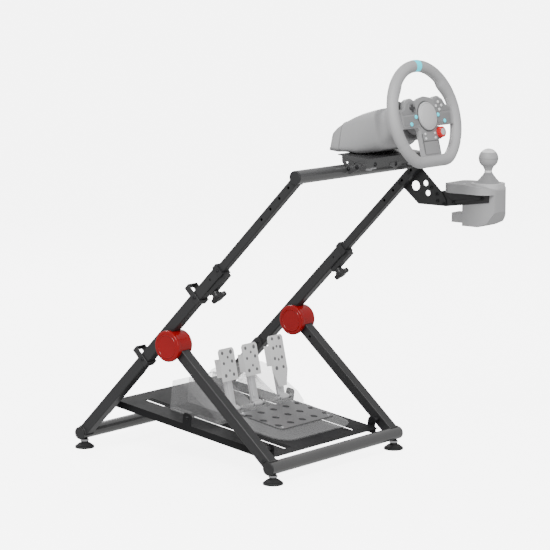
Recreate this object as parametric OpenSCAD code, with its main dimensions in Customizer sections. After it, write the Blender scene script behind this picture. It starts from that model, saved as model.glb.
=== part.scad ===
// Folding sim racing cockpit: an A-frame stand on four levelling feet, with a
// height-sliding upper frame, a tilting wheel tray, a pedal plate, a steering
// wheel with its base, a three-pedal unit and a gear shifter. Millimetres.
// +Y is the driving direction, +X the driver's right hand, +Z up.

/* [Part shown] */
// one node, or all of them

/* [Stand] */
// length of the round cross tubes, end caps included
stand_width = 520; // [440:5:640]
// distance between the axes of the rear and front floor tubes
base_depth = 616.5; // [520:0.5:760]
// height of the floor tube axes above the ground
tube_height = 40; // [36:0.5:60]
// how far the top bar axis lies behind the rear floor tube axis
bar_back = 80.2; // [0:0.2:140]
// height of the top bar axis above the ground
bar_height = 738.7; // [640:0.1:860]
// distance from the end of a cross tube to the middle of an upright
upright_inset = 20; // [18:0.5:40]

/* [Tubes] */
// outside diameter of the round tubes
round_tube_diameter = 32; // [28:0.5:36]
// wall of the round tubes
round_tube_wall = 1.6; // [1.2:0.1:2.5]
// outside width of the square uprights and legs
square_tube_width = 28; // [25:0.5:30]
// wall of the square uprights and legs
square_tube_wall = 1.6; // [1.2:0.1:2.5]
// outside corner radius of the square tubes
tube_corner = 3; // [2:0.25:4]
// outside width of the sliding inner tubes
inner_tube_width = 21.6; // [18:0.1:22]
// wall of the sliding inner tubes
inner_tube_wall = 1.5; // [1.2:0.1:2.5]
// length of each upright above the front tube axis
upright_length = 648; // [560:2:700]
// where the inner tube starts, measured from the front tube axis
inner_tube_start = 250; // [200:2:400]

/* [Feet and end caps] */
// diameter of a foot pad
foot_diameter = 48; // [40:1:60]
// distance from the tube end to the foot axis
foot_inset = 19.5; // [15:0.5:60]
// thickness of the end cap flange
cap_flange = 3; // [2:0.5:6]

/* [Folding joint] */
// distance of the hinge axis along the upright from the front tube axis
hinge_along = 403.6; // [340:0.2:460]
// distance of the hinge axis behind the upright axis
hinge_drop = 35.3; // [32:0.1:45]
// diameter of the hinge housing body
housing_diameter = 70; // [64:0.5:80]
// diameter of the housing flange
flange_diameter = 77; // [70:0.5:90]
// thickness of the housing flange
flange_thickness = 13; // [6:0.5:18]
// diameter of the hinge pin
hinge_pin_diameter = 12; // [8:0.5:16]
// how far the legs fold, degrees
fold_angle = 85; // [40:1:88]

/* [Clamp knobs] */
// distance of the knob axis along the upright
knob_along = 594; // [560:1:620]
// overall diameter of the lobed knob
knob_diameter = 46; // [36:1:60]
// clamp screw diameter
clamp_screw_diameter = 8; // [6:0.5:10]

/* [Pedal plate] */
// gap between each side of the pedal plate and the leg beside it
plate_side_gap = 23.5; // [12:0.5:60]
// length of the pedal plate
plate_length = 530; // [420:1:540]
// sheet thickness of the pedal plate
plate_thickness = 2; // [1.5:0.1:3]
// depth of the folded-down sides
plate_side_depth = 18; // [10:0.5:30]
// upward slope of the plate towards the front, degrees
plate_slope = 7.54; // [2:0.02:20]
// wide cable slot width
wide_slot = 7; // [4:0.5:10]
// narrow cable slot width
narrow_slot = 3.8; // [2:0.1:6]
// distance from the side of the plate to its wide slots
slot_inset = 68.5; // [40:0.5:90]
// distance between the wide slot and the first narrow one
slot_step = 11; // [7:0.5:14]
// distance from the pivot to the spare ear
spare_ear = 267; // [200:1:320]

/* [Wheel tray] */
// middle of the tray, right of the middle of the stand
tray_offset = 33.5; // [-60:0.5:60]
// width of the tray
tray_width = 233; // [180:1:280]
// depth of the tray
tray_depth = 88; // [70:1:140]
// height of the tray top above the bar axis
tray_rise = 39.2; // [30:0.1:60]
// tilt of the tray, front edge up, degrees
tray_tilt = 4.5; // [0:0.5:15]
// sheet thickness of the tray
tray_thickness = 2.5; // [1.5:0.1:4]

/* [Steering wheel] */
// outside diameter of the rim
wheel_diameter = 270; // [240:1:320]
// thickness of the rim grip
rim_thickness = 28; // [22:0.5:34]
// lean of the wheel away from the driver, degrees
wheel_lean = 14; // [0:1:35]
// width of the wheel base
wheel_base_width = 206; // [160:1:260]
// diameter of the wheel shaft
wheel_shaft_diameter = 24; // [16:1:30]

/* [Pedals] */
// middle of the brake pedal, right of the middle of the stand
brake_x = 38; // [-20:1:50]
// distance from the brake pedal to the clutch pedal
clutch_spacing = 90; // [80:1:100]
// distance from the brake pedal to the throttle pedal
throttle_spacing = 105; // [95:1:112]
// width of a pedal face
pedal_face_width = 58; // [45:1:64]
// lean of the pedals towards the front, degrees
pedal_lean = 20; // [10:1:30]
// width of a pedal arm
pedal_arm_width = 26; // [18:1:30]
// gap on each side of a pedal arm in its slot
pedal_slot_gap = 10; // [6:0.5:14]
// width of the pedal unit
pedal_unit_width = 344; // [320:1:350]
// height of the back of the pedal unit
pedal_unit_height = 75; // [66:1:90]
// height of the heel plate above the pedal plate
heel_height = 15; // [10:0.5:24]
// diameter of the heel plate holes
heel_hole = 19; // [8:1:24]

/* [Shifter] */
// width of the shifter housing across the stand
shifter_width = 103; // [95:1:120]
// length of the shifter housing along the stand
shifter_length = 144; // [130:1:160]
// corner radius of the shifter housing seen from above
shifter_corner = 38; // [20:1:45]
// diameter of the shifter ball
shifter_ball_diameter = 48; // [36:1:56]

/* [Fits] */
// gap between pieces that are seated on each other's curved faces
seat_gap = 0.3; // [0.1:0.05:1]
// radial clearance of pins that turn in bores
pin_gap = 0.05; // [0.02:0.01:0.1]
// gap on each side of the sliding inner tube in its guide
slide_gap = 0.3; // [0.15:0.05:0.6]

/* [Hidden] */
$fn = 48;
tube_r = round_tube_diameter / 2;
tube_bore_r = tube_r - round_tube_wall;
tube_half = stand_width / 2 - upright_inset;
sq = square_tube_width;
sq_in = sq - 2 * square_tube_wall;
inr = inner_tube_width;
rise = bar_height - tube_height;
run = base_depth + bar_back;
frame_length = sqrt(rise * rise + run * run);
lean = atan2(run, rise);
hinge_y = base_depth - hinge_along * sin(lean) - hinge_drop * cos(lean);
hinge_z = tube_height + hinge_along * cos(lean) - hinge_drop * sin(lean);
leg_length = sqrt(hinge_y * hinge_y + pow(hinge_z - tube_height, 2));
leg_lean = 90 + atan2(hinge_z - tube_height, hinge_y);
housing_end = 23.5;
flange_face = -34;
body_face = flange_face + flange_thickness;
leg_room = 1;
hinge_pin_r = hinge_pin_diameter / 2;
screw_r = clamp_screw_diameter / 2;
boss_depth = 11;
plate_rear = 21;
plate_top = 58;
pivot_y = 20.9;
pivot_z = 13.4;
front_bolt_y = 518;
front_bolt_z = -8;
plate_edge = tube_half - sq / 2 - plate_side_gap;
plate_width = 2 * plate_edge;
plate_bolt_r = 4;
rail_thickness = 3;
rail_row = -2;
tray_front = 15.3;
tray_player = tray_front - tray_depth;
wheel_y = -144.2;
wheel_z = 141.05;
wheel_turn = 90 - wheel_lean - tray_tilt;
rim_r = rim_thickness / 2;
rim_centre_r = wheel_diameter / 2 - rim_r;
rim_flat = -rim_centre_r * 0.875;
rim_bend = 45;
paddle_x = 42;
paddle_z = -19;
paddle_low = -8;
paddle_high = 16;
shaft_r = wheel_shaft_diameter / 2;
pedal_pin_y = 266;
pedal_pin_z = 20;
pedal_pin_r = 4;
pedal_slot = pedal_arm_width + 2 * pedal_slot_gap;
clutch_x = brake_x - clutch_spacing;
throttle_x = brake_x + throttle_spacing;
unit_right = plate_edge - plate_thickness - 0.5;
unit_left = unit_right - pedal_unit_width;
face_front = -8.5;
face_sheet = 3;
shifter_y = -243;
shifter_x = 290;
gimbal_z = 678;
bracket_x = tube_half + inr / 2;
bracket_thickness = 3;
shifter_back = 285;
housing_left = bracket_x - 21.8;
housing_right = housing_left + shifter_width;
shelf_width = housing_right - bracket_x - bracket_thickness - 4;
flange_right = bracket_x + bracket_thickness + 2.5 + seat_gap;
middle_x = (housing_right - tube_half + flange_face) / 2;
middle_y = (base_depth + foot_diameter / 2 - shifter_back) / 2;

module place() {
    translate([-middle_x, -middle_y, 0]) children();
}

// local x across, y forward of the upright, z up along the upright
module on_upright(side) {
    translate([side * tube_half, base_depth, tube_height])
        rotate([lean, 0, 0]) children();
}

// local z runs from the hinge axis down the leg to the rear tube
module on_leg(side) {
    translate([side * tube_half, hinge_y, hinge_z])
        rotate([leg_lean, 0, 0]) children();
}

// local y runs forward along the top face of the pedal plate
module on_plate() {
    translate([0, plate_rear, plate_top]) rotate([plate_slope, 0, 0]) children();
}

// local origin on the bar axis, z square to the tray
module on_tray() {
    translate([tray_offset, -bar_back, bar_height])
        rotate([tray_tilt, 0, 0]) children();
}

// local z points out of the wheel towards the driver, y up the wheel
module on_wheel() {
    on_tray() translate([0, wheel_y, wheel_z]) rotate([wheel_turn, 0, 0]) children();
}

module x_rod(r, x0, x1) {
    translate([x0, 0, 0]) rotate([0, 90, 0]) cylinder(h = x1 - x0, r = r);
}

// a disc of radius r and height h with both edges rounded
module soft_disc(r, h, f) {
    rotate_extrude() {
        square([r - f, h]);
        translate([0, f]) square([r, h - 2 * f]);
        for (z = [f, h - f]) translate([r - f, z]) circle(r = f, $fn = 24);
    }
}

// a square outline of width w with rounded corners
module round_square(w, r) {
    square([w - 2 * r, w], center = true);
    square([w, w - 2 * r], center = true);
    for (x = [-1, 1], y = [-1, 1])
        translate([x * (w / 2 - r), y * (w / 2 - r)]) circle(r = r, $fn = 24);
}

// a rectangle from (x0, y0) to (x1, y1) with rounded corners
module round_rect(x0, y0, x1, y1, r) {
    translate([x0 + r, y0]) square([x1 - x0 - 2 * r, y1 - y0]);
    translate([x0, y0 + r]) square([x1 - x0, y1 - y0 - 2 * r]);
    for (x = [x0 + r, x1 - r], y = [y0 + r, y1 - r]) translate([x, y]) circle(r = r);
}

module round_tube() {
    half = stand_width / 2 - cap_flange;
    difference() {
        x_rod(tube_r, -half, half);
        x_rod(tube_bore_r, -half - 1, half + 1);
    }
}

module foot_stud_holes() {
    for (s = [-1, 1])
        translate([s * (stand_width / 2 - foot_inset), 0, -tube_r - 2])
            cylinder(h = 8, r = 4 + pin_gap);
}

module caps() {
    half = stand_width / 2;
    for (s = [0, 180]) rotate([0, s, 0]) {
        translate([half - cap_flange, 0, 0]) rotate([0, 90, 0]) soft_disc(tube_r, cap_flange, 1.2);
        x_rod(tube_bore_r - seat_gap, half - cap_flange - 12, half - cap_flange);
    }
}

module feet() {
    stem_top = tube_height - tube_r - seat_gap;
    for (s = [-1, 1])
        translate([s * (stand_width / 2 - foot_inset), 0, 0]) {
            soft_disc(foot_diameter / 2, 6, 1.5);
            translate([0, 0, 5.5]) cylinder(h = 7.5, r1 = foot_diameter / 2 - 2.5, r2 = 12);
            translate([0, 0, 12]) cylinder(h = stem_top - 12, r = 9.5);
            translate([0, 0, stem_top]) cylinder(h = 11, r = 4);
        }
}

module front_tube() {
    color("dimgray") place() translate([0, base_depth, tube_height]) difference() {
        round_tube();
        foot_stud_holes();
    }
}

module rear_tube() {
    color("dimgray") place() translate([0, 0, tube_height]) difference() {
        round_tube();
        foot_stud_holes();
    }
}

module top_bar() {
    color("dimgray") place() translate([0, -bar_back, bar_height]) round_tube();
}

module front_feet() {
    color("black") place() translate([0, base_depth, 0]) feet();
}

module rear_feet() {
    color("black") place() feet();
}

module front_caps() {
    color("black") place() translate([0, base_depth, tube_height]) caps();
}

module rear_caps() {
    color("black") place() translate([0, 0, tube_height]) caps();
}

module bar_caps() {
    color("black") place() translate([0, -bar_back, bar_height]) caps();
}

module square_tube(outer, inner, z0, z1) {
    bend = tube_corner - (outer - inner) / 2;
    difference() {
        translate([0, 0, z0]) linear_extrude(height = z1 - z0) round_square(outer, tube_corner);
        translate([0, 0, z0 - 1]) linear_extrude(height = z1 - z0 + 2) round_square(inner, bend);
    }
}

module uprights() {
    color("dimgray") place() for (s = [-1, 1]) on_upright(s) difference() {
        square_tube(sq, sq_in, 0, upright_length);
        x_rod(tube_r + seat_gap, -sq, sq);
        translate([0, 0, knob_along]) rotate([90, 0, 0]) cylinder(h = sq, r = screw_r + 0.4);
        translate([0, 0, upright_length - 34]) x_rod(3, -sq, sq);
    }
}

module inner_tubes() {
    color("dimgray") place() for (s = [-1, 1]) on_upright(s) difference() {
        square_tube(inr, inr - 2 * inner_tube_wall, inner_tube_start, frame_length);
        translate([0, 0, frame_length]) x_rod(tube_r + seat_gap, -sq, sq);
        for (k = [0:3]) translate([0, 0, 950 - 38 * k]) x_rod(3.5, -sq, sq);
    }
}

module upright_collars() {
    ring = sq + 3;
    top = upright_length + 7;
    guide = inr + 2 * slide_gap;
    color("black") place() for (s = [-1, 1]) on_upright(s) difference() {
        union() {
            translate([-ring / 2, -ring / 2, top - 15]) cube([ring, ring, 15]);
            translate([0, 0, knob_along + 18]) linear_extrude(height = top - knob_along - 19)
                round_square(sq_in - 0.6, tube_corner - square_tube_wall);
            translate([-10, -sq / 2 - boss_depth, knob_along - 11]) cube([20, boss_depth - seat_gap, top - knob_along + 11]);
        }
        difference() {
            translate([-(sq + 0.6) / 2, -(sq + 0.6) / 2, top - 16])
                cube([sq + 0.6, sq + 0.6, 16 - 7 + seat_gap]);
            translate([-(sq_in - 0.6) / 2, -(sq_in - 0.6) / 2, top - 17])
                cube([sq_in - 0.6, sq_in - 0.6, 18]);
        }
        translate([-guide / 2, -guide / 2, 600]) cube([guide, guide, 70]);
        translate([0, -sq / 2 + 1, knob_along]) rotate([90, 0, 0]) cylinder(h = 30, r = screw_r + pin_gap);
    }
}

module clamp_knob(side) {
    face = sq / 2 + boss_depth + 0.8;
    tip = inr / 2 + 0.3;
    on_upright(side) translate([0, 0, knob_along]) rotate([90, 0, 0]) {
        translate([0, 0, tip]) cylinder(h = face - tip + 6, r = screw_r);
        translate([0, 0, face]) cylinder(h = 9, r = 10);
        translate([0, 0, face + 7]) soft_disc(13.5, 13, 2);
        for (a = [0:120:240]) rotate([0, 0, a + 30])
            translate([knob_diameter / 2 - 8, 0, face + 8]) soft_disc(8, 10, 2.5);
    }
}

module left_knob() {
    color("black") place() clamp_knob(-1);
}

module right_knob() {
    color("black") place() clamp_knob(1);
}

// room for the leg between its open and its folded place, seen along the hinge axis
module leg_sweep() {
    w = sq / 2 + leg_room;
    open = atan2(tube_height - hinge_z, -hinge_y);
    shut = open + fold_angle;
    far = 60;
    pts = concat(
        [[far * cos(open) + w * sin(open), far * sin(open) - w * cos(open)]],
        [[w * sin(open), -w * cos(open)]],
        [for (a = [open - 100:-10:open - 170]) [w * cos(a), w * sin(a)]],
        [[-w * sin(shut), w * cos(shut)]],
        [[far * cos(shut) - w * sin(shut), far * sin(shut) + w * cos(shut)]],
        [for (a = [shut:-10:open]) [1.3 * far * cos(a), 1.3 * far * sin(a)]]);
    polygon(pts);
}

module hinge_housings() {
    color("firebrick") place() for (s = [-1, 1]) difference() {
        translate([s * tube_half, hinge_y, hinge_z]) difference() {
            union() {
                translate([body_face - 6, 0, 0]) rotate([0, 90, 0])
                    soft_disc(housing_diameter / 2, housing_end - body_face + 6, 3);
                translate([flange_face, 0, 0]) rotate([0, 90, 0])
                    soft_disc(flange_diameter / 2, flange_thickness, 4);
            }
            x_rod(flange_diameter / 2 - 8, flange_face - 1, flange_face + 1.5);
            x_rod(hinge_pin_r + 0.03, body_face, housing_end + 1);
            rotate([90, 0, 90]) translate([0, 0, -sq / 2 - 0.8])
                linear_extrude(height = sq + 1.6) union() {
                    leg_sweep();
                    circle(r = sq / 2 + leg_room);
                }
        }
        on_upright(s) translate([-sq / 2 - seat_gap, -sq / 2 - seat_gap, hinge_along - 60])
            cube([sq + 2 * seat_gap, 60, 120]);
    }
}

module hinge_pins() {
    color("silver") place() for (s = [-1, 1])
        translate([s * tube_half, hinge_y, hinge_z]) x_rod(hinge_pin_r, body_face + 0.2, housing_end - 0.5);
}

module rear_legs() {
    color("dimgray") place() for (s = [-1, 1]) on_leg(s) difference() {
        union() {
            linear_extrude(height = leg_length) round_square(sq, tube_corner);
            x_rod(sq / 2, -sq / 2, sq / 2);
        }
        translate([0, 0, 17]) linear_extrude(height = leg_length)
            round_square(sq_in, tube_corner - square_tube_wall);
        translate([0, 0, leg_length]) x_rod(tube_r + seat_gap, -sq, sq);
        x_rod(hinge_pin_r + pin_gap, -sq, sq);
        translate([0, 0, 62]) x_rod(3.5, -sq, sq);
        translate([0, 0, leg_length - 52.5]) rotate([0, s > 0 ? 180 : 0, 0])
            x_rod(plate_bolt_r + pin_gap, sq / 2 - 4, sq / 2 + 2);
    }
}

module plate_rails() {
    z0 = 88;
    z1 = 276;
    w = 28;
    color("dimgray") place() for (s = [-1, 1]) on_upright(s)
        translate([s < 0 ? sq / 2 : -sq / 2 - rail_thickness, rail_row + 3, 0]) difference() {
            union() {
                translate([0, -w / 2, z0]) cube([rail_thickness, w, z1 - w / 2 - z0]);
                translate([0, 0, z1 - w / 2]) x_rod(w / 2, 0, rail_thickness);
            }
            for (k = [0:5]) translate([0, -3, 112.3 + 28 * k]) x_rod(4.25, -1, rail_thickness + 1);
        }
}

module side_loops() {
    color("dimgray") place() on_upright(-1) for (z = [296, 538]) difference() {
        translate([-sq / 2 - 3, -sq / 2 - 3.5, z]) cube([sq + 6, sq + 26, 16]);
        translate([-sq / 2 - seat_gap, -sq / 2 - seat_gap, z - 1]) cube([sq + 2 * seat_gap, sq + 19.8, 18]);
    }
}

module pedal_plate() {
    t = plate_thickness;
    ear_y = pivot_y + spare_ear;
    ear_z = 16.6;
    color("dimgray") place() on_plate() difference() {
        union() {
            translate([-plate_edge, 0, -t]) cube([plate_width, plate_length, t]);
            translate([-plate_edge, plate_length - t, -plate_side_depth])
                cube([plate_width, t, plate_side_depth]);
            for (x = [-plate_edge, plate_edge - t])
                translate([x, 5, -plate_side_depth]) cube([t, plate_length - 5, plate_side_depth]);
            for (x = [-plate_edge, plate_edge - t]) {
                translate([x, 0, 0]) rotate([90, 0, 90]) linear_extrude(height = t)
                    round_rect(ear_y - 13.5, -8, ear_y + 13.5, ear_z + 12, 7);
                translate([x, pivot_y - 12, -t]) cube([t, 24, pivot_z + t]);
                translate([x, pivot_y, pivot_z]) x_rod(12, 0, t);
            }
        }
        for (s = [-1, 1], y = [27, 185, 346]) translate([s * (plate_edge - slot_inset), y, -t - 1]) {
            translate([-wide_slot / 2, 0, 0]) cube([wide_slot, 138, t + 2]);
            for (k = [0, 8]) translate([-s * (slot_step + k) - narrow_slot / 2, 0, 0])
                cube([narrow_slot, 138, t + 2]);
        }
        translate([0, ear_y, ear_z]) x_rod(plate_bolt_r, -plate_edge - 5, plate_edge + 5);
        translate([0, pivot_y, pivot_z]) x_rod(plate_bolt_r + 0.03, -plate_edge - 5, plate_edge + 5);
        translate([0, front_bolt_y, front_bolt_z]) x_rod(plate_bolt_r + 0.03, -plate_edge - 5, plate_edge + 5);
    }
}

module plate_bolts() {
    in = plate_edge - plate_thickness;
    leg_face = tube_half - sq / 2;
    rail_face = leg_face - rail_thickness;
    color("silver") place() on_plate() for (a = [0, 180]) {
        translate([0, pivot_y, pivot_z]) rotate([0, a, 0]) {
            x_rod(7, in - 4, in);
            x_rod(plate_bolt_r, in, leg_face + 8);
            x_rod(7, plate_edge + 0.1, leg_face - 0.8);
        }
        translate([0, front_bolt_y, front_bolt_z]) rotate([0, a, 0]) {
            x_rod(6, in - 4, in);
            x_rod(plate_bolt_r, in, rail_face - 1.5);
            x_rod(7, plate_edge + 0.1, rail_face - 1.5);
        }
    }
}

module pedal_slots(y0, y1, z0) {
    for (x = [clutch_x, brake_x, throttle_x])
        translate([x - pedal_slot / 2, y0, z0]) cube([pedal_slot, y1 - y0, 120]);
}

module heel_outline(grow) {
    translate([grow, 0]) hull() {
        for (x = [brake_x - 98 - grow, brake_x + 96 - grow]) translate([x, 104]) circle(r = 9, $fn = 32);
        for (x = [brake_x - 95 - grow, brake_x + 106 - grow]) translate([x, 232]) circle(r = 6, $fn = 32);
    }
}

// the low skirt round the heel plate
module heel_skirt() {
    hull() {
        for (x = [brake_x - 90, brake_x + 95]) translate([x, 104, 0]) cylinder(h = 3, r = 50, $fn = 48);
        for (x = [brake_x - 120, plate_edge - 22]) translate([x, 244, 0]) cylinder(h = 3, r = 20, $fn = 32);
        for (x = [brake_x - 92, brake_x + 92]) translate([x, 106, 0])
            cylinder(h = heel_height, r = 17, $fn = 32);
        for (x = [brake_x - 94, brake_x + 104]) translate([x, 240, 0])
            cylinder(h = heel_height, r = 12, $fn = 32);
    }
}

module pedal_base() {
    h = pedal_unit_height;
    color("lightgray") place() on_plate() difference() {
        union() {
            intersection() {
                rotate([90, 0, 90]) translate([0, 0, unit_left]) linear_extrude(height = pedal_unit_width)
                    polygon([[240, 0], [240, 9], [262, 28], [300, 44], [335, h - 14], [362, h - 3],
                        [396, h], [405, h - 8], [408, 0]]);
                linear_extrude(height = 120) round_rect(unit_left, 200, unit_right, 408, 24);
            }
            for (x = [(clutch_x + brake_x) / 2 - 7, (brake_x + throttle_x) / 2 - 15])
                rotate([90, 0, 90]) translate([0, 0, x]) linear_extrude(height = x < brake_x ? 14 : 30)
                    polygon([[300, 40], [326, 64], [338, h + 14], [346, h + 20], [372, h + 20],
                        [384, h + 10], [390, h - 5]]);
            heel_skirt();
        }
        pedal_slots(252, 400, 8);
        translate([0, 0, heel_height]) linear_extrude(height = 20) heel_outline(0);
        translate([0, pedal_pin_y, pedal_pin_z]) x_rod(pedal_pin_r + pin_gap, clutch_x - 40, throttle_x + 40);
    }
}

module heel_plate() {
    color("silver") place() on_plate() difference() {
        translate([0, 0, heel_height]) linear_extrude(height = 3) heel_outline(0);
        for (i = [-2:2], j = [0:2])
            translate([brake_x + 4 + (47 + j) * i, 119 + 46.5 * j, heel_height - 1])
                cylinder(h = 10, r = heel_hole / 2);
    }
}

module pedal_arm(x) {
    w = pedal_arm_width / 2;
    color("silver") place() on_plate() translate([x, pedal_pin_y, pedal_pin_z]) {
        x_rod(pedal_pin_r, -34, 34);
        x_rod(9, -w - 1, w + 1);
        rotate([-pedal_lean, 0, 0]) {
            translate([-w, 1, 4.4]) cube([2 * w, 6, 107.6]);
            translate([1 - w, face_front + face_sheet, 84]) cube([2 * w - 2, 2 - face_front - face_sheet, 27]);
        }
    }
}

// the face is wide above v1 and narrows to its lower end at v0
module pedal_face(x, v0, v1, v2, dots) {
    w = pedal_face_width / 2;
    low = v0 < v1 ? 15 : w;
    color("white") place() on_plate() translate([x, pedal_pin_y, pedal_pin_z])
        rotate([-pedal_lean, 0, 0]) difference() {
            union() {
                translate([0, face_front + face_sheet, 0]) rotate([90, 0, 0])
                    linear_extrude(height = face_sheet)
                        polygon([[-low, v0], [low, v0], [w, v1], [w, v2 - 6], [w - 6, v2], [6 - w, v2],
                            [-w, v2 - 6], [-w, v1]]);
                for (s = [-w, w - 2]) translate([s, face_front + face_sheet - 0.5, 84]) cube([2, 16, v2 - 108]);
            }
            for (d = dots) translate([d[0], face_front + 1, d[1]]) rotate([90, 0, 0]) cylinder(h = 5, r = d[2]);
        }
}

SHORT_DOTS = [[-16, 143, 4.5], [16, 143, 5.5], [2, 131, 3.5], [-16, 117, 4], [16, 119, 4.5],
    [2, 97, 3.5], [-15, 86, 5], [15, 86, 4.5]];
LONG_DOTS = [[-13, 152, 4.5], [14, 151, 5], [-14, 128, 4.5], [0, 131, 3.5], [14, 128, 4.5],
    [-14, 101, 4.5], [0, 97, 3.5], [14, 101, 4.5], [-13, 76, 5.5], [14, 76, 4.5]];

module clutch_arm() { pedal_arm(clutch_x); }
module brake_arm() { pedal_arm(brake_x); }
module throttle_arm() { pedal_arm(throttle_x); }
module clutch_face() { pedal_face(clutch_x, 72, 72, 154, SHORT_DOTS); }
module brake_face() { pedal_face(brake_x, 72, 72, 154, SHORT_DOTS); }
module throttle_face() { pedal_face(throttle_x, 28, 68, 160, LONG_DOTS); }

module shifter_bracket() {
    color("dimgray") place() difference() {
        translate([bracket_x, 0, 0]) rotate([90, 0, 90]) linear_extrude(height = bracket_thickness)
            polygon([[-4, 673], [-55, 724], [-72, 717], [-133, 662], [-144, 646], [-147, 628],
                [-63, 628], [-21, 662]]);
        translate([bracket_x, -54, 672.5]) x_rod(12, -1, 10);
        translate([bracket_x, -84, 681]) x_rod(7, -1, 10);
        translate([bracket_x, -91, 657]) x_rod(7, -1, 10);
    }
}

module shifter_plate() {
    x0 = bracket_x + bracket_thickness;
    color("dimgray") place() {
        difference() {
            translate([x0, 0, 0]) rotate([90, 0, 90]) linear_extrude(height = 2.5)
                polygon([[-78, 630], [-147, 628], [-270, 646], [-270, 665], [-130, 665], [-100, 645], [-78, 642]]);
            translate([x0, -166, 640]) x_rod(3.5, -1, 4);
            translate([x0, -250, 655]) x_rod(3.5, -1, 4);
        }
        difference() {
            translate([x0, -270, 662.5]) cube([shelf_width, 140, 2.5]);
            translate([shifter_x - 24, shifter_y - 26, 660]) cube([48, 52, 8]);
        }
    }
}

module shifter_housing() {
    y1 = shifter_length - shifter_back;
    color("gainsboro") place() difference() {
        union() {
            intersection() {
                translate([0, 0, 560]) linear_extrude(height = 160)
                    round_rect(housing_left, -shifter_back, housing_right, y1, shifter_corner);
                rotate([90, 0, 90]) translate([0, 0, housing_left]) linear_extrude(height = shifter_width)
                    polygon([[y1, 665.3], [y1, 681], [y1 - 8, 687.5], [-215, 687.5], [-262, 684], [-shifter_back, 675],
                        [-shifter_back, 622], [-262, 594], [-236, 583], [-190, 583], [-190, 665.3]]);
            }
            // the screw block of the belly
            translate([flange_right + 1.5, -192, 590]) cube([34, 34, 24]);
        }
        // room for the plate's flange on the left and for its shelf
        translate([housing_left - 1, -shifter_back - 1, 560]) cube([flange_right - housing_left + 1, 200, 105.3]);
        translate([bracket_x, -270 - seat_gap, 662.5 - seat_gap])
            cube([bracket_thickness + shelf_width + seat_gap, 160, 2.8 + seat_gap]);
        translate([shifter_x - 25, shifter_y - 25, 640]) cube([50, 50, 60]);
        translate([shifter_x, shifter_y - 38, gimbal_z]) rotate([-90, 0, 0]) cylinder(h = 76, r = 3 + pin_gap);
    }
}

module shifter_gimbal() {
    color("silver") place() translate([shifter_x, shifter_y, gimbal_z]) difference() {
        union() {
            translate([0, 0, -5]) cylinder(h = 10, r = 19);
            translate([0, -35, 0]) rotate([-90, 0, 0]) cylinder(h = 70, r = 3);
        }
        translate([0, 0, -6]) cylinder(h = 12, r = 14);
        x_rod(2.5 + pin_gap, -25, 25);
    }
}

module shifter_lever() {
    color("silver") place() translate([shifter_x, shifter_y, gimbal_z]) {
        x_rod(2.5, -18, 18);
        sphere(r = 8);
        cylinder(h = 54, r = 5);
    }
}

module shifter_ball() {
    z = 72;
    color("black") place() translate([shifter_x, shifter_y, gimbal_z]) difference() {
        union() {
            translate([0, 0, z]) sphere(r = shifter_ball_diameter / 2);
            translate([0, 0, 40]) cylinder(h = 20, r1 = 8, r2 = 16);
        }
        translate([0, 0, 39]) cylinder(h = 15, r = 5 + pin_gap);
    }
}

module shifter_boot() {
    color("darkgray") place() translate([shifter_x, shifter_y, 688]) difference() {
        cylinder(h = 28, r1 = 34, r2 = 9);
        translate([0, 0, -0.01]) cylinder(h = 28.02, r1 = 32, r2 = 7);
    }
}

module wheel_tray() {
    t = tray_thickness;
    half = tray_width / 2;
    side = [[tray_front - 12, tray_rise], [1, 22], [-3, tube_r + 2], [-12, 13], [-tube_r - 1, 2],
        [-21, -4], [-27, -2], [-48, 10], [tray_player, 17], [tray_player, tray_rise]];
    color("dimgray") place() on_tray() difference() {
        union() {
            translate([-half, tray_player, tray_rise - t]) cube([tray_width, tray_depth, t]);
            translate([-half, tray_player, 17]) cube([tray_width, t, tray_rise - 17]);
            for (x = [-half, half - t]) translate([x, 0, 0]) rotate([90, 0, 90])
                linear_extrude(height = t) polygon(side);
        }
        x_rod(tube_r + seat_gap, -half - 5, half + 5);
        for (y = [-14, -36, -58]) translate([0, y, 23]) x_rod(2.5, -half - 5, half + 5);
    }
}

module wheel_base() {
    half = wheel_base_width / 2;
    color("lightgray") place() difference() {
        on_tray() intersection() {
            rotate([90, 0, 90]) translate([0, 0, -half]) linear_extrude(height = 2 * half)
                polygon([[22, tray_rise], [55.9, 47.8], [48.9, 85.4], [35.2, 102.6], [-9.4, 148.2], [-34, 153],
                    [-87.2, 169.4], [-116.7, 81.2], [-50, tray_rise]]);
            linear_extrude(height = 200) round_rect(-half, -140, half, 58, 34);
        }
        on_wheel() translate([0, 0, -85]) cylinder(h = 60, r = shaft_r + 0.1);
    }
}

module base_clamps() {
    color("darkgray") place() on_tray() for (s = [-1, 1])
        translate([s * 84 - 12, tray_player + 4, 12]) cube([24, 30, tray_rise - tray_thickness - 12]);
}

// a flat wedge between two directions, wide enough to cut the rim
module wedge(a0, a1) {
    translate([0, 0, -40]) linear_extrude(height = 80)
        polygon([[0, 0], [400 * cos(a0), 400 * sin(a0)], [400 * cos(a1), 400 * sin(a1)]]);
}

module rim_ring(r, grow) {
    rotate_extrude($fn = 96) translate([r, 0]) circle(r = rim_r + grow, $fn = 32);
}

// the two lower corners are moulded slightly thicker than the rest of the grip
module wheel_rim() {
    drop = -rim_flat - rim_bend;
    across = sqrt(pow(rim_centre_r - rim_bend, 2) - drop * drop);
    turn = atan2(drop, across);
    color("dimgray") place() on_wheel() {
        difference() {
            rim_ring(rim_centre_r, 0);
            wedge(-turn, turn - 180);
        }
        for (m = [0, 1]) mirror([m, 0, 0]) translate([across, -drop, 0]) intersection() {
            rim_ring(rim_bend, 0.6);
            wedge(-96, 6 - turn);
        }
        translate([0, rim_flat, 0]) x_rod(rim_r, -across, across);
    }
}

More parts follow.
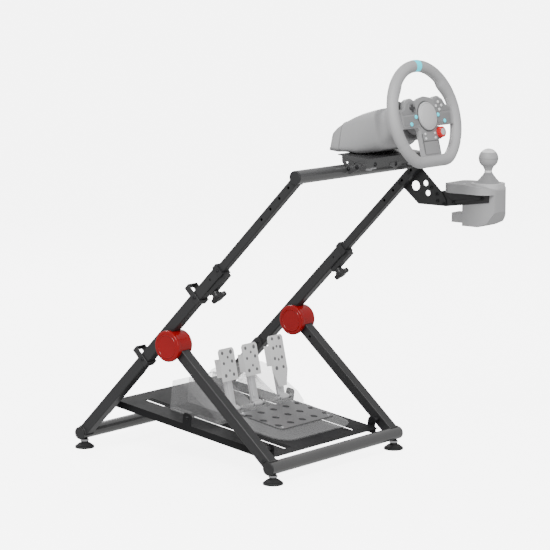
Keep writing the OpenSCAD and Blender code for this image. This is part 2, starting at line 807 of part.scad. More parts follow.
module wheel_spokes() {
    color("darkgray") place() on_wheel() {
        difference() {
            union() {
                translate([0, 0, -8]) cylinder(h = 12, r = 46);
                translate([-rim_centre_r, -24, -8]) cube([2 * rim_centre_r, 46, 12]);
                translate([-34, rim_flat, -8]) cube([68, -rim_flat, 12]);
                for (s = [-1, 1]) translate([s * 54, 22, -8]) cylinder(h = 12, r = 24);
            }
            rotate_extrude($fn = 96) translate([rim_centre_r, 0]) circle(r = rim_r + seat_gap, $fn = 32);
            translate([0, rim_flat, 0]) x_rod(rim_r + seat_gap, -70, 70);
            difference() {
                translate([-200, -200, -20]) cube([400, 400, 40]);
                cylinder(h = 100, r = rim_centre_r, center = true);
            }
            translate([40, -41, -2]) cylinder(h = 10, r = 4 + pin_gap);
        }
        translate([0, 0, -38]) cylinder(h = 30, r = 34);
        for (m = [0, 1]) mirror([m, 0, 0]) {
            for (y = [paddle_low - 4, paddle_high]) translate([28, y, paddle_z - 5]) cube([19, 4, 16]);
            translate([paddle_x, paddle_low - 3, paddle_z]) rotate([-90, 0, 0])
                cylinder(h = paddle_high - paddle_low + 6, r = 2.5);
        }
        translate([0, 0, -72]) cylinder(h = 34, r = shaft_r);
    }
}

module wheel_pad() {
    color("darkgray") place() on_wheel() translate([0, 0, 4]) cylinder(h = 9, r = 31);
}

module wheel_buttons() {
    color("deepskyblue") place() on_wheel() translate([0, 0, 4]) {
        for (s = [-1, 1]) {
            translate([s * 44, 0, 0]) cylinder(h = 4, r = 5);
            translate([s * 64, -16, 0]) cylinder(h = 4, r = 5);
        }
        for (p = [[53, 31], [64, 21], [42, 21], [53, 11]]) translate([p[0], p[1], 0]) cylinder(h = 3.5, r = 3.5);
        translate([-52, 22, 0]) {
            translate([-9, -3, 0]) cube([18, 6, 4]);
            translate([-3, -9, 0]) cube([6, 18, 4]);
        }
        for (y = [-32, -44]) translate([-25, y, 0]) cylinder(h = 3, r = 3.5);
    }
}

module wheel_dial() {
    color("crimson") place() on_wheel() translate([40, -41, 0]) {
        translate([0, 0, -1]) cylinder(h = 6, r = 4);
        translate([0, 0, 4.5]) cylinder(h = 12, r = 13);
    }
}

// a gear paddle behind the spoke, turning on a short pin beside the hub
module paddle(side) {
    color("gray") place() on_wheel() mirror([side > 0 ? 0 : 1, 0, 0]) difference() {
        union() {
            translate([0, 0, paddle_z - 2]) linear_extrude(height = 4)
                polygon([[paddle_x, paddle_low + 1], [paddle_x, paddle_high - 1], [49.5, paddle_high - 1], [52, 30],
                    [62, 43], [74, 46], [86, 40], [89, 26], [82, 4], [62, paddle_low - 2], [49.5, paddle_low + 1]]);
            translate([paddle_x, paddle_low + 0.5, paddle_z]) rotate([-90, 0, 0])
                cylinder(h = paddle_high - paddle_low - 1, r = 4.5);
        }
        translate([paddle_x, paddle_low - 5, paddle_z]) rotate([-90, 0, 0])
            cylinder(h = paddle_high - paddle_low + 10, r = 2.5 + pin_gap);
    }
}

module left_paddle() { paddle(-1); }
module right_paddle() { paddle(1); }

front_tube();
uprights();
upright_collars();
hinge_housings();
hinge_pins();
plate_rails();
side_loops();
front_feet();
front_caps();
rear_tube();
rear_legs();
rear_feet();
rear_caps();
pedal_plate();
plate_bolts();
pedal_base();
heel_plate();
clutch_arm();
clutch_face();
brake_arm();
brake_face();
throttle_arm();
throttle_face();
top_bar();
inner_tubes();
bar_caps();
shifter_bracket();
shifter_plate();
shifter_housing();
shifter_gimbal();
shifter_lever();
shifter_ball();
shifter_boot();
wheel_tray();
wheel_base();
base_clamps();
wheel_rim();
wheel_spokes();
wheel_pad();
wheel_buttons();
wheel_dial();
left_paddle();
right_paddle();
left_knob();
right_knob();
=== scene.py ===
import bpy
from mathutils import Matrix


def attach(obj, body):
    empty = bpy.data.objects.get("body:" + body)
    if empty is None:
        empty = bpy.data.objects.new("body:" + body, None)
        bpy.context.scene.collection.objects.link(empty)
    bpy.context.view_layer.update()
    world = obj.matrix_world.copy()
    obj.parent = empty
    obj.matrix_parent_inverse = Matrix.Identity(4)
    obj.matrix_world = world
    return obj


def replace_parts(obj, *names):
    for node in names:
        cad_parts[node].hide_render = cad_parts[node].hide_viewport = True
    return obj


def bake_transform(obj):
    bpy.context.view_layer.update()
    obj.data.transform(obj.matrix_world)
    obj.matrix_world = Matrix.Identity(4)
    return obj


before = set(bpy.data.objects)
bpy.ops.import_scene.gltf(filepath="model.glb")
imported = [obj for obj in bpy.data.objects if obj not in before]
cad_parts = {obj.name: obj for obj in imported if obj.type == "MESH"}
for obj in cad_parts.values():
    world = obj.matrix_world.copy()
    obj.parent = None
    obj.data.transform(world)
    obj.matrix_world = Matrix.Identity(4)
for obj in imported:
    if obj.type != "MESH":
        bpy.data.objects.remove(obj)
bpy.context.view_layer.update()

import math
import bpy
import bmesh
from mathutils import Matrix, Vector
from mathutils.geometry import tessellate_polygon

# ---------------------------------------------------------------- camera, light and floor
scene = bpy.context.scene
cam_data = bpy.data.cameras.new("camera")
cam_data.lens = 155.2
cam_data.sensor_width = 36.0
cam_data.clip_end = 100.0
cam = bpy.data.objects.new("camera", cam_data)
scene.collection.objects.link(cam)
cam.location = (-4.5129, -3.6495, 1.3525)
cam.rotation_mode = "QUATERNION"
cam.rotation_quaternion = Vector((0.7654, 0.6251, -0.1532)).to_track_quat("-Z", "Y")
scene.camera = cam


def area_light(name, place, target, size, power):
    data = bpy.data.lights.new(name, "AREA")
    data.shape = "DISK"
    data.size = size
    data.energy = power
    lamp = bpy.data.objects.new(name, data)
    lamp.location = place
    way = Vector(target) - Vector(place)
    lamp.rotation_mode = "QUATERNION"
    lamp.rotation_quaternion = way.to_track_quat("-Z", "Y")
    scene.collection.objects.link(lamp)


area_light("key", (-2.6, -1.2, 3.0), (0, 0, 0.4), 1.4, 110)
area_light("fill", (-1.5, -3.6, 1.6), (0, 0, 0.4), 2.0, 30)
area_light("rim", (2.0, 2.6, 2.4), (0, 0, 0.5), 1.4, 50)

world = bpy.data.worlds.new("studio")
world.use_nodes = True
wn, wl = world.node_tree.nodes, world.node_tree.links
soft = wn["Background"]
soft.inputs["Color"].default_value = (1, 1, 1, 1)
soft.inputs["Strength"].default_value = 0.75
backdrop = wn.new("ShaderNodeBackground")
backdrop.inputs["Color"].default_value = (1, 1, 1, 1)
backdrop.inputs["Strength"].default_value = 9.0
seen = wn.new("ShaderNodeLightPath")
swap = wn.new("ShaderNodeMixShader")
wl.new(seen.outputs["Is Camera Ray"], swap.inputs["Fac"])
wl.new(soft.outputs["Background"], swap.inputs[1])
wl.new(backdrop.outputs["Background"], swap.inputs[2])
wl.new(swap.outputs["Shader"], wn["World Output"].inputs["Surface"])
scene.world = world


# ---------------------------------------------------------------- materials
def material(name, color, rough, metal=0.0, tone=0.05, tone_scale=9.0, grain=900.0, bump=0.05,
             depth=0.0003, coat=0.0, coat_rough=0.1, rough_var=0.05, sheen=0.0, kind="noise", emit=0.0):
    m = bpy.data.materials.new(name)
    m.use_nodes = True
    nt = m.node_tree
    n, l = nt.nodes, nt.links
    p = n["Principled BSDF"]
    p.inputs["Metallic"].default_value = metal
    p.inputs["Coat Weight"].default_value = coat
    p.inputs["Coat Roughness"].default_value = coat_rough
    p.inputs["Sheen Weight"].default_value = sheen
    if emit:
        p.inputs["Emission Color"].default_value = (*color, 1)
        p.inputs["Emission Strength"].default_value = emit
    tc = n.new("ShaderNodeTexCoord")
    big = n.new("ShaderNodeTexNoise")
    big.inputs["Scale"].default_value = tone_scale
    big.inputs["Detail"].default_value = 5
    l.new(tc.outputs["Object"], big.inputs["Vector"])
    ramp = n.new("ShaderNodeValToRGB")
    ramp.color_ramp.elements[0].position = 0.3
    ramp.color_ramp.elements[1].position = 0.7
    ramp.color_ramp.elements[0].color = tuple(c * (1 - tone) for c in color) + (1,)
    ramp.color_ramp.elements[1].color = tuple(min(1, c * (1 + tone)) for c in color) + (1,)
    l.new(big.outputs["Fac"], ramp.inputs["Fac"])
    l.new(ramp.outputs["Color"], p.inputs["Base Color"])
    fine = n.new("ShaderNodeTexVoronoi" if kind == "cell" else "ShaderNodeTexNoise")
    fine.inputs["Scale"].default_value = grain
    if kind == "brushed":
        mp = n.new("ShaderNodeMapping")
        mp.inputs["Scale"].default_value = (0.04, 1, 1)
        l.new(tc.outputs["Object"], mp.inputs["Vector"])
        l.new(mp.outputs["Vector"], fine.inputs["Vector"])
    else:
        l.new(tc.outputs["Object"], fine.inputs["Vector"])
    height = fine.outputs["Distance"] if kind == "cell" else fine.outputs["Fac"]
    if kind == "weave":
        sep = n.new("ShaderNodeSeparateXYZ")
        l.new(tc.outputs["Object"], sep.inputs["Vector"])
        waves = []
        for axis in ("X", "Z"):
            mul = n.new("ShaderNodeMath")
            mul.operation = "MULTIPLY"
            mul.inputs[1].default_value = grain * 4
            l.new(sep.outputs[axis], mul.inputs[0])
            sn = n.new("ShaderNodeMath")
            sn.operation = "SINE"
            l.new(mul.outputs[0], sn.inputs[0])
            waves.append(sn)
        mix = n.new("ShaderNodeMath")
        mix.operation = "MULTIPLY"
        l.new(waves[0].outputs[0], mix.inputs[0])
        l.new(waves[1].outputs[0], mix.inputs[1])
        height = mix.outputs[0]
    b = n.new("ShaderNodeBump")
    b.inputs["Strength"].default_value = bump
    b.inputs["Distance"].default_value = depth
    l.new(height, b.inputs["Height"])
    l.new(b.outputs["Normal"], p.inputs["Normal"])
    rr = n.new("ShaderNodeMapRange")
    rr.inputs["To Min"].default_value = max(0.02, rough - rough_var)
    rr.inputs["To Max"].default_value = min(1.0, rough + rough_var)
    mid = n.new("ShaderNodeTexNoise")
    mid.inputs["Scale"].default_value = tone_scale * 6
    l.new(tc.outputs["Object"], mid.inputs["Vector"])
    l.new(mid.outputs["Fac"], rr.inputs["Value"])
    l.new(rr.outputs["Result"], p.inputs["Roughness"])
    return m


COAT = material("black_coat", (0.022, 0.022, 0.023), 0.42, bump=0.25, grain=700, depth=0.0002)
COAT_GLOSS = material("black_coat_gloss", (0.06, 0.06, 0.061), 0.24, bump=0.12, grain=500, depth=0.0002, coat=0.5)
BLACK = material("black_plastic", (0.018, 0.018, 0.019), 0.45, bump=0.3, grain=1400, depth=0.0002)
RUBBER = material("foot_rubber", (0.016, 0.016, 0.017), 0.7, bump=0.5, grain=1600, depth=0.0002)
RED = material("red_gloss", (0.30, 0.002, 0.003), 0.24, tone=0.08, bump=0.02, coat=0.12, coat_rough=0.06,
               rough_var=0.03)
RED.node_tree.nodes["Principled BSDF"].inputs["Specular IOR Level"].default_value = 0.25
ZINC = material("zinc", (0.42, 0.42, 0.43), 0.34, metal=1.0, kind="brushed", grain=900, bump=0.08)
DARK_BOLT = material("dark_bolt", (0.03, 0.03, 0.032), 0.33, metal=0.6, bump=0.05)
PALE = material("pale_plastic", (0.40, 0.40, 0.405), 0.5, tone=0.03, bump=0.12, grain=1300, depth=0.0002)
PALE_DARK = material("pale_plastic_dark", (0.24, 0.24, 0.245), 0.5, tone=0.03, bump=0.12, grain=1300, depth=0.0002)
PALE_LIGHT = material("pale_plastic_light", (0.58, 0.58, 0.585), 0.45, tone=0.03, bump=0.1, grain=1300, depth=0.0002)
METAL = material("pale_metal", (0.74, 0.74, 0.75), 0.32, metal=0.4, kind="brushed", grain=1200, bump=0.06,
                 tone=0.02)
RIM = material("rim_cover", (0.40, 0.40, 0.405), 0.55, tone=0.04, kind="cell", grain=900, bump=0.25,
               depth=0.0002, sheen=0.1)
# This blue glows by its own emission. On the top band of the rim, a dyed stripe and no lamp, the glow is painted light.
GLOWING_BLUE = material("button_blue", (0.01, 0.66, 0.80), 0.3, tone=0.05, bump=0.02, emit=0.9)
DIAL = material("dial_red", (0.72, 0.008, 0.012), 0.28, tone=0.06, bump=0.03, coat=0.1)
CLOTH = material("boot_cloth", (0.27, 0.27, 0.275), 0.8, tone=0.05, kind="weave", grain=700, bump=0.3,
                 depth=0.0002, sheen=0.3)
WHITE = material("white_detail", (0.82, 0.82, 0.82), 0.4, tone=0.02, bump=0.03)
THREAD = material("stitch_thread", (0.62, 0.62, 0.62), 0.7, tone=0.05, bump=0.3, grain=2500, depth=0.0001)
BLACK_PAD = material("dark_rubber", (0.045, 0.045, 0.047), 0.6, tone=0.08, bump=0.25, grain=1500, depth=0.0002)
STUD = material("pedal_stud", (0.16, 0.16, 0.165), 0.6, tone=0.06, bump=0.2, grain=1500, depth=0.0002)
PALE_MID = material("pale_plastic_mid", (0.30, 0.30, 0.305), 0.46, tone=0.03, bump=0.12, grain=1300, depth=0.0002)
# Nearly black, for the gaps between the pale covers of the wheel: painted shade.
GROOVE_SHADE = material("panel_groove_shade", (0.10, 0.10, 0.102), 0.6, tone=0.05, bump=0.1, grain=1300, depth=0.0002)
TRAY = material("tray_coat", (0.05, 0.05, 0.051), 0.27, bump=0.15, grain=700, depth=0.0002, coat=0.3)
DECK = material("deck_coat", (0.016, 0.016, 0.017), 0.62, bump=0.25, grain=700, depth=0.0002)
DECK.node_tree.nodes["Principled BSDF"].inputs["Specular IOR Level"].default_value = 0.12
SMOKE = material("smoke_plastic", (0.50, 0.50, 0.505), 0.38, tone=0.03, bump=0.1, grain=1300, depth=0.0002)
SMOKE.node_tree.nodes["Principled BSDF"].inputs["Alpha"].default_value = 0.34
HEEL = material("heel_metal", (0.17, 0.17, 0.175), 0.36, metal=0.5, kind="brushed", grain=1200, bump=0.06, tone=0.03)

LOOK = {
    "front_tube": COAT_GLOSS, "rear_tube": COAT_GLOSS, "top_bar": COAT_GLOSS,
    "uprights": COAT, "inner_tubes": COAT, "rear_legs": COAT, "plate_rails": COAT, "side_loops": COAT,
    "pedal_plate": DECK, "shifter_bracket": COAT, "shifter_plate": COAT, "wheel_tray": TRAY,
    "upright_collars": BLACK, "front_caps": BLACK, "rear_caps": BLACK, "bar_caps": BLACK,
    "left_knob": BLACK, "right_knob": BLACK, "front_feet": RUBBER, "rear_feet": RUBBER,
    "hinge_housings": RED, "hinge_pins": ZINC, "plate_bolts": DARK_BOLT,
    "pedal_base": SMOKE, "heel_plate": HEEL, "clutch_arm": METAL, "brake_arm": METAL, "throttle_arm": METAL,
    "clutch_face": WHITE, "brake_face": WHITE, "throttle_face": WHITE,
    "shifter_housing": PALE, "shifter_gimbal": ZINC, "shifter_lever": ZINC, "shifter_ball": PALE,
    "shifter_boot": CLOTH, "wheel_base": PALE, "base_clamps": PALE, "wheel_rim": RIM, "wheel_spokes": PALE,
    "wheel_pad": PALE, "wheel_buttons": GLOWING_BLUE, "wheel_dial": DIAL, "left_paddle": PALE_DARK, "right_paddle": PALE_DARK,
}
for node_name, look in LOOK.items():
    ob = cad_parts[node_name]
    ob.data.materials.clear()
    ob.data.materials.append(look)

# ---------------------------------------------------------------- places, in millimetres like the CAD source
MID_X, MID_Y = 29.0, 177.75
TUBE_HALF, BASE_DEPTH, TUBE_Z, BAR_Y, BAR_Z = 240.0, 616.5, 40.0, -80.2, 738.7
TUBE_R, UPRIGHT_W, INNER_W, TUBE_CORNER = 16, 28, 21.6, 3
HINGE_ALONG, HINGE_DROP = 403.6, 35.3
TRAY_X = 33.5
LEAN = math.atan2(BASE_DEPTH - BAR_Y, BAR_Z - TUBE_Z)
FRAME_LENGTH = math.hypot(BASE_DEPTH - BAR_Y, BAR_Z - TUBE_Z)
HINGE_Y = BASE_DEPTH - HINGE_ALONG * math.sin(LEAN) - HINGE_DROP * math.cos(LEAN)
HINGE_Z = TUBE_Z + HINGE_ALONG * math.cos(LEAN) - HINGE_DROP * math.sin(LEAN)
LEG_LENGTH = math.hypot(HINGE_Y, HINGE_Z - TUBE_Z)
LEG_LEAN = math.pi / 2 + math.atan2(HINGE_Z - TUBE_Z, HINGE_Y)


def at(x, y, z, turn=0.0):
    """A place in millimetres, turned about X."""
    return Matrix.Translation((x, y, z)) @ Matrix.Rotation(turn, 4, "X")


ROW = Matrix.Scale(0.001, 4) @ Matrix.Translation((-MID_X, -MID_Y, 0))
ON_PLATE = ROW @ at(0, 21, 58, math.radians(7.54))
ON_TRAY = ROW @ at(TRAY_X, BAR_Y, BAR_Z, math.radians(4.5))
ON_WHEEL = ON_TRAY @ at(0, -144.2, 141.05, math.radians(71.5))
FACE_X = Matrix.Rotation(math.pi / 2, 4, "Y")          # local z points along +X
FACE_BACK = Matrix.Rotation(math.pi / 2, 4, "X")       # local z points along -Y


def on_upright(side):
    return ROW @ at(side * TUBE_HALF, BASE_DEPTH, TUBE_Z, LEAN)


def on_leg(side):
    return ROW @ at(side * TUBE_HALF, HINGE_Y, HINGE_Z, LEG_LEAN)


def outward(side):
    """Local z away from the middle, to the left for -1 and to the right for 1."""
    return FACE_X if side > 0 else FACE_X.inverted()


def shift(place, x, y, z):
    return place @ Matrix.Translation((x, y, z))


# ---------------------------------------------------------------- building pieces
class Piece:
    """Collects shapes given in millimetres and turns them into one object."""

    def __init__(self, name, body, look, slot, smooth=35):
        self.name, self.body, self.look, self.slot, self.smooth = name, body, look, slot, smooth
        self.verts, self.faces = [], []

    def add(self, place, verts, faces):
        base = len(self.verts)
        self.verts += [place @ Vector(v) for v in verts]
        self.faces += [tuple(base + i for i in f) for f in faces]

    def lathe(self, place, profile, seg=40, lobes=0, lobe_depth=0.0, start=0.0):
        """Turns a profile of (radius, height) points about local z. A radius of 0 closes an end."""
        verts, rings = [], []
        for r, z in profile:
            if r < 1e-6:
                rings.append([len(verts)])
                verts.append((0, 0, z))
                continue
            ring = []
            for k in range(seg):
                a = start + 2 * math.pi * k / seg
                q = r * (1 - lobe_depth * (0.5 - 0.5 * math.cos(lobes * a))) if lobes else r
                ring.append(len(verts))
                verts.append((q * math.cos(a), q * math.sin(a), z))
            rings.append(ring)
        faces = []
        for a, b in zip(rings, rings[1:]):
            for k in range(seg):
                i, j = k, (k + 1) % seg
                if len(a) == 1 and len(b) > 1:
                    faces.append((a[0], b[i], b[j]))
                elif len(b) == 1 and len(a) > 1:
                    faces.append((a[i], b[0], a[j]))
                elif len(a) > 1:
                    faces.append((a[i], b[i], b[j], a[j]))
        self.add(place, verts, faces)

    def prism(self, place, outline, z0, z1, soft=0.0, steps=3):
        """A slab between z0 and z1 with a rounded top edge, from a convex or concave outline."""
        levels = [(0.0, z0), (0.0, z1 - soft)]
        for k in range(1, steps + 1 if soft else 0):
            a = math.pi / 2 * k / steps
            levels.append((soft * (1 - math.cos(a)), z1 - soft + soft * math.sin(a)))
        if not soft:
            levels[1] = (0.0, z1)
        n, verts = len(outline), []
        for inset, z in levels:
            verts += [(x, y, z) for x, y in shrink(outline, inset)]
        faces = []
        for lv in range(len(levels) - 1):
            for k in range(n):
                a, b = lv * n + k, lv * n + (k + 1) % n
                faces.append((a, b, b + n, a + n))
        for lv, flip in ((0, True), (len(levels) - 1, False)):
            ring = [Vector(verts[lv * n + k]) for k in range(n)]
            for t in tessellate_polygon([ring]):
                t = [lv * n + i for i in t]
                up = (Vector(verts[t[1]]) - Vector(verts[t[0]])).cross(Vector(verts[t[2]]) - Vector(verts[t[0]])).z > 0
                faces.append(tuple(t if up != flip else t[::-1]))
        self.add(place, verts, faces)

    def sweep(self, place, path, radius, seg=16, closed=False, grow=None):
        """A round rod along a path of points, thicker where grow(k, angle) says so."""
        pts = [Vector(p) for p in path]
        n = len(pts)
        verts = []
        side = None
        for k, p in enumerate(pts):
            if closed:
                t = (pts[(k + 1) % n] - pts[k - 1]).normalized()
            else:
                t = (pts[min(n - 1, k + 1)] - pts[max(0, k - 1)]).normalized()
            if side is None:
                ref = Vector((0, 0, 1)) if abs(t.z) < 0.9 else Vector((1, 0, 0))
                side = t.cross(ref).normalized()
            side = (side - t * side.dot(t)).normalized()
            up = side.cross(t)
            for j in range(seg):
                a = 2 * math.pi * j / seg
                r = radius * (grow(k, a) if grow else 1.0)
                verts.append(p + side * (r * math.cos(a)) + up * (r * math.sin(a)))
        faces = []
        for k in range(n if closed else n - 1):
            for j in range(seg):
                a, b = k * seg + j, k * seg + (j + 1) % seg
                c, d = ((k + 1) % n) * seg + j, ((k + 1) % n) * seg + (j + 1) % seg
                faces.append((a, c, d, b))
        if not closed:
            faces.append(tuple(range(seg)))
            faces.append(tuple(reversed(range((n - 1) * seg, n * seg))))
        self.add(place, verts, faces)

    def loft(self, place, rings):
        n = len(rings[0])
        verts = [v for r in rings for v in r]
        faces = []
        for k in range(len(rings) - 1):
            for j in range(n):
                a, b = k * n + j, k * n + (j + 1) % n
                faces.append((a, b, b + n, a + n))
        faces.append(tuple(reversed(range(n))))
        faces.append(tuple(range((len(rings) - 1) * n, len(rings) * n)))
        self.add(place, verts, faces)

    def bolt(self, place, r=5.0, h=3.0, kind="hex"):
        """A bolt head standing on local z = 0, with its washer."""
        w = r * 1.5
        self.lathe(place, [(0, -0.2), (w, -0.2), (w, 0.8), (w - 0.3, 1.1), (0, 1.1)], 28)
        if kind == "hex":
            self.lathe(place, [(r * 1.08, 1.0), (r * 1.08, h + 0.2), (r * 0.92, h + 0.9), (0, h + 0.9)], 6, start=0.3)
        elif kind == "cap":
            self.lathe(place, [(r, 1.0), (r, h + 0.3), (r - 0.7, h + 1), (r * 0.55, h + 1)], 28)
            self.lathe(place, [(r * 0.55, h + 1), (r * 0.55, h - 1.4), (0, h - 1.4)], 6)
        else:
            dome = [(r * math.cos(a), 1.0 + h * 0.75 * math.sin(a)) for a in (0, 0.35, 0.7, 1.05)]
            self.lathe(place, [(r, 0.9)] + dome + [(r * 0.42, 1.0 + h * 0.72)], 28)
            self.lathe(place, [(r * 0.42, 1.0 + h * 0.72), (r * 0.38, h * 0.35), (0, h * 0.35)], 6)

    def make(self):
        mesh = bpy.data.meshes.new(self.name)
        mesh.from_pydata([tuple(v) for v in self.verts], [], self.faces)
        mesh.update()
        bm = bmesh.new()
        bm.from_mesh(mesh)
        bmesh.ops.recalc_face_normals(bm, faces=bm.faces)
        for f in bm.faces:
            f.smooth = True
        limit = math.radians(self.smooth)
        for e in bm.edges:
            if len(e.link_faces) == 2 and e.calc_face_angle(0) > limit:
                e.smooth = False
        bm.to_mesh(mesh)
        bm.free()
        ob = bpy.data.objects.new(self.name, mesh)
        scene.collection.objects.link(ob)
        mesh.materials.append(self.look)
        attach(ob, self.body)
        return ob


def shrink(outline, d):
    """The outline moved inwards by d, for a counter-clockwise ring."""
    if d == 0:
        return list(outline)
    out, n = [], len(outline)
    for k in range(n):
        p, a, b = Vector(outline[k]), Vector(outline[k - 1]), Vector(outline[(k + 1) % n])
        e1, e2 = (p - a).normalized(), (b - p).normalized()
        n1, n2 = Vector((-e1.y, e1.x)), Vector((-e2.y, e2.x))
        m = (n1 + n2) / max(0.4, 1 + n1.dot(n2))
        out.append(tuple(p + m * d))
    return out


def soften_edges(ob, width, limit=32, segments=2):
    weld = ob.modifiers.new("weld", "WELD")
    weld.merge_threshold = 0.00002
    bevel = ob.modifiers.new("bevel", "BEVEL")
    bevel.width = width * 0.001
    bevel.segments = segments
    bevel.limit_method = "ANGLE"
    bevel.angle_limit = math.radians(limit)
    bevel.harden_normals = False
    normal = ob.modifiers.new("normals", "WEIGHTED_NORMAL")
    normal.keep_sharp = True


def rounded(points, r, seg=5):
    """A counter-clockwise outline with its corners rounded. r is one radius or one for each corner."""
    out, n = [], len(points)
    for k in range(n):
        p, a, b = Vector(points[k]), Vector(points[k - 1]), Vector(points[(k + 1) % n])
        rk = r[k] if isinstance(r, (list, tuple)) else r
        u, v = (a - p).normalized(), (b - p).normalized()
        half = math.acos(max(-1, min(1, u.dot(v)))) / 2
        reach = min(rk / math.tan(half), (a - p).length * 0.49, (b - p).length * 0.49)
        rk = reach * math.tan(half)
        centre = p + (u + v).normalized() * (rk / math.sin(half))
        s, e = p + u * reach - centre, p + v * reach - centre
        a0, turn = math.atan2(s.y, s.x), math.atan2(s.x * e.y - s.y * e.x, s.dot(e))
        for j in range(seg + 1):
            t = a0 + turn * j / seg
            out.append((centre.x + rk * math.cos(t), centre.y + rk * math.sin(t)))
    return out


# ---------------------------------------------------------------- softened edges of the CAD pieces
SOFT = {"wheel_tray": 0.7, "shifter_bracket": 0.7, "shifter_plate": 0.7, "pedal_plate": 0.6, "plate_rails": 0.7,
        "side_loops": 1.0, "upright_collars": 1.0, "base_clamps": 1.5, "wheel_spokes": 1.2, "left_paddle": 1.0,
        "right_paddle": 1.0, "clutch_arm": 1.2, "brake_arm": 1.2, "throttle_arm": 1.2, "clutch_face": 0.6,
        "brake_face": 0.6, "throttle_face": 0.6, "heel_plate": 0.7,
        "left_knob": 0.6, "right_knob": 0.6}
for node_name, width in SOFT.items():
    soften_edges(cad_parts[node_name], width)

# ---------------------------------------------------------------- steering wheel
RIM_R, RIM_MID, RIM_FLAT, RIM_BEND = 14.0, 121.0, -105.875, 45.0
drop = -RIM_FLAT - RIM_BEND
across = math.sqrt((RIM_MID - RIM_BEND) ** 2 - drop ** 2)
turn = math.atan2(drop, across)
rim_path, rim_angle = [], []
for k in range(150):
    a = -turn + (math.pi + 2 * turn) * k / 150
    rim_path.append((RIM_MID * math.cos(a), RIM_MID * math.sin(a), 0))
    rim_angle.append(a)
for k in range(16):
    a = math.pi + turn + (math.pi / 2 - turn) * k / 16
    rim_path.append((-across + RIM_BEND * math.cos(a), -drop + RIM_BEND * math.sin(a), 0))
    rim_angle.append(None)
for k in range(16):
    rim_path.append((-across + 2 * across * k / 16, RIM_FLAT, 0))
    rim_angle.append(None)
for k in range(16):
    a = -math.pi / 2 + (math.pi / 2 - turn) * k / 16
    rim_path.append((across + RIM_BEND * math.cos(a), -drop + RIM_BEND * math.sin(a), 0))
    rim_angle.append(None)


def grip_shape(k, a):
    """Thumb rests at ten and two, and shallow seams where the cover is sewn."""
    t = rim_angle[k]
    grow = 1.0
    if t is not None:
        for centre, way in ((math.radians(38), 1), (math.radians(142), -1)):
            d = way * (t - centre) / math.radians(9)
            rise = 0.5 + 0.5 * math.cos(math.pi * min(1.0, max(0.0, d)))
            fall = 0.5 + 0.5 * math.cos(math.pi * min(1.0, max(0.0, -d / 2.4)))
            grow += 0.30 * min(rise, fall) * max(0.0, -math.cos(a - 0.3)) ** 1.2
        for centre in (math.radians(83), math.radians(97), math.radians(22), math.radians(158), math.radians(-30),
                       math.radians(210)):
            d = abs(t - centre) / math.radians(1.1)
            if d < 1:
                grow -= 0.06 * (1 - d)
    return grow


grip = Piece("wheel_grip", "wheel", RIM, "rim_cover", 60)
grip.sweep(ON_WHEEL, rim_path, RIM_R, 36, closed=True, grow=grip_shape)
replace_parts(grip.make(), "wheel_rim")

# The top band is a dyed stripe of the rim cover. Its glow from the glowing blue is painted light.
band = Piece("wheel_top_band", "wheel", GLOWING_BLUE, "button_blue")
band.sweep(ON_WHEEL, [(RIM_MID * math.cos(a), RIM_MID * math.sin(a), 0)
                      for a in [math.radians(85.6 + 8.8 * k / 8) for k in range(9)]], RIM_R + 0.35, 36)
band.make()

stitch = Piece("wheel_stitches", "wheel", THREAD, "rim_cover")
for k in range(len(rim_path)):
    p, q = Vector(rim_path[k]), Vector(rim_path[(k + 1) % len(rim_path)])
    t = rim_angle[k]
    if t is not None and (abs(t) < 0.22 or abs(t - math.pi) < 0.22):
        continue
    m = (p + q) / 2
    inward = Vector((-m.x, -m.y, 0)).normalized()
    c = m + inward * (RIM_R - 0.15)
    along = (q - p).normalized()
    for s in (-1, 1):
        a0 = c + along * 1.2 * s + Vector((0, 0, -1.6))
        a1 = c - along * 0.1 * s + inward * 0.35
        a2 = c + along * 1.2 * s + Vector((0, 0, 1.6))
        stitch.sweep(ON_WHEEL, [a0, a1, a2], 0.38, 5)
stitch.make()

# spokes: two raised covers with a parting line across the lower spoke
upper = rounded([(-96, -22), (-30, -22), (-30, -58), (30, -58), (30, -22), (96, -22), (100, 18), (82, 24), (74, 38),
                 (54, 44), (34, 38), (24, 44), (0, 48), (-24, 44), (-34, 38), (-54, 44), (-74, 38), (-82, 24),
                 (-100, 18)], [5, 9, 6, 6, 9, 5, 5, 9, 8, 9, 6, 10, 20, 10, 6, 9, 8, 9, 5])
cover = Piece("spoke_cover", "wheel", PALE_MID, "pale_plastic", 40)
cover.prism(ON_WHEEL, upper, 3.9, 6.0, 1.2)
lower = rounded([(-31, -90), (31, -90), (29.5, -59.5), (-29.5, -59.5)], [4, 4, 4, 4])
cover.prism(ON_WHEEL, lower, 3.9, 5.6, 1.2)
cover.make()
inlay = Piece("spoke_inlays", "wheel", PALE_DARK, "pale_plastic", 40)
for s in (-1, 1):
    pts = [(38 * s, 8), (94 * s, 8), (96 * s, 15), (80 * s, 20), (70 * s, 34), (54 * s, 40), (38 * s, 34)]
    pts = pts if s > 0 else pts[::-1]
    inlay.prism(ON_WHEEL, rounded(pts, 4), 5.9, 6.7, 0.5)
    pts = [(36 * s, -18), (92 * s, -18), (93 * s, 4), (38 * s, 4)]
    pts = pts if s > 0 else pts[::-1]
    inlay.prism(ON_WHEEL, rounded(pts, 4), 5.9, 6.7, 0.5)
inlay.make()
spoke_back = Piece("wheel_hub_cover", "wheel", PALE_DARK, "pale_plastic")
spoke_back.lathe(ON_WHEEL, [(35, -37), (36.5, -35.5), (36.5, -12), (40, -8.2), (44, -8.2)], 56)
spoke_back.make()
